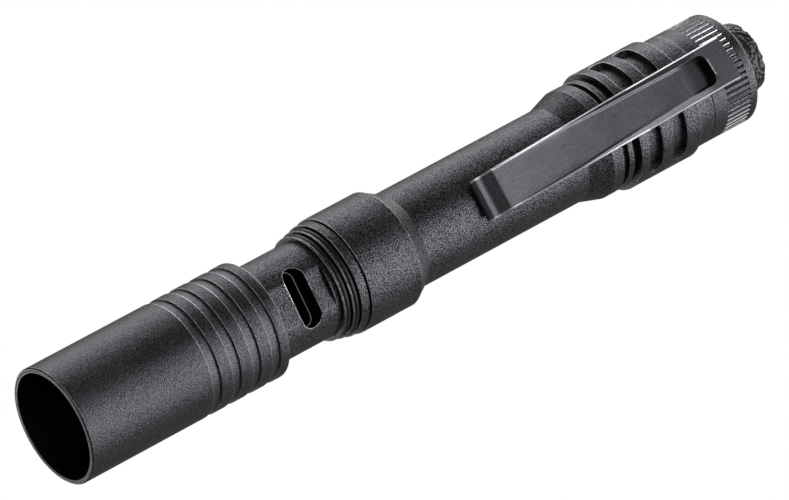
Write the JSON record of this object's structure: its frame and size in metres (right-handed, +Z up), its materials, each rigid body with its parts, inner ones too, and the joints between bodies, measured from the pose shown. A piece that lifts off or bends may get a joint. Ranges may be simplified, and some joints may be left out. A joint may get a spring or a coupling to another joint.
{
  "type": "flashlight",
  "caption": "Slim black rechargeable pen flashlight with a ribbed sliding head over a charging port, milled grip, knurled tail cap, rubber tail button and sprung pocket clip.",
  "frame": {"origin": "under the middle of the part, on the surface it lies on, with the head pulled out as pictured", "axes": "+X along the axis towards the tail button, -X the way the light shines, +Z up through the pocket clip's foot"},
  "size_m": [0.1308, 0.019, 0.0202],
  "materials": {
    "black_anodised": "bead-blasted, black anodised",
    "clip_steel": "satin dark plated spring steel",
    "spring_steel": "bright wire",
    "bright_steel": "bright stamped",
    "bare_aluminium": "turned",
    "brass": "turned",
    "black_rubber": "moulded matte",
    "black_plastic": "moulded",
    "mirror_coat": "vacuum coated",
    "clear_glass": "polished",
    "green_board": "solder mask",
    "white_board": "white mask",
    "led_phosphor": "clear dome over phosphor",
    "cell_wrap": "shrink wrap",
    "lead_red": "wire insulation",
    "lead_black": "wire insulation"
  },
  "bodies": {
    "body": {"port_housing": "black_anodised", "head_friction_ring": "black_rubber", "seal_ring_front": "black_rubber", "seal_ring_rear": "black_rubber", "body_seal_ring": "black_rubber", "lens_retainer": "black_anodised", "lens_gasket": "black_rubber", "lens": "clear_glass", "reflector": "mirror_coat", "led_emitter": "led_phosphor", "led_board": "white_board", "led_lead_plus": "lead_red", "led_lead_minus": "lead_black", "heat_sink": "bare_aluminium", "usb_shell": "bright_steel", "usb_tongue": "black_plastic", "driver_board": "green_board", "charge_chip": "black_plastic", "boost_coil": "black_plastic", "contact_board": "green_board", "front_contact_spring": "spring_steel", "battery_cell": "cell_wrap", "battery_spring": "spring_steel", "barrel": "black_anodised", "tail_cap": "black_anodised", "tail_seal_ring": "black_rubber", "switch_retainer": "brass", "switch_housing": "black_plastic", "switch_spring": "spring_steel", "clip_foot": "clip_steel"},
    "head": {"head_sleeve": "black_anodised", "head_stop_ring": "spring_steel"},
    "button": {"switch_boot": "black_rubber", "switch_plunger": "black_plastic"},
    "clip": {"clip_arm": "clip_steel"}
  },
  "joints": [
    {"name": "head_slide", "type": "slide", "parent": "body", "child": "head", "axis": [1, 0, 0], "range_m": [0, 0.0136]},
    {"name": "button_press", "type": "slide", "parent": "body", "child": "button", "axis": [-1, 0, 0], "range_m": [0, 0.002], "stiffness_N_per_m": 1500, "springref_m": -0.0005, "deforming": ["switch_spring"]},
    {"name": "clip_flex", "type": "hinge", "parent": "body", "child": "clip", "pos_m": [0.0474, -0.00018, 0.01975], "axis": [-0.0262, 0.9997, 0], "range_deg": [0, 3], "stiffness_Nm_per_rad": 4}
  ]
}
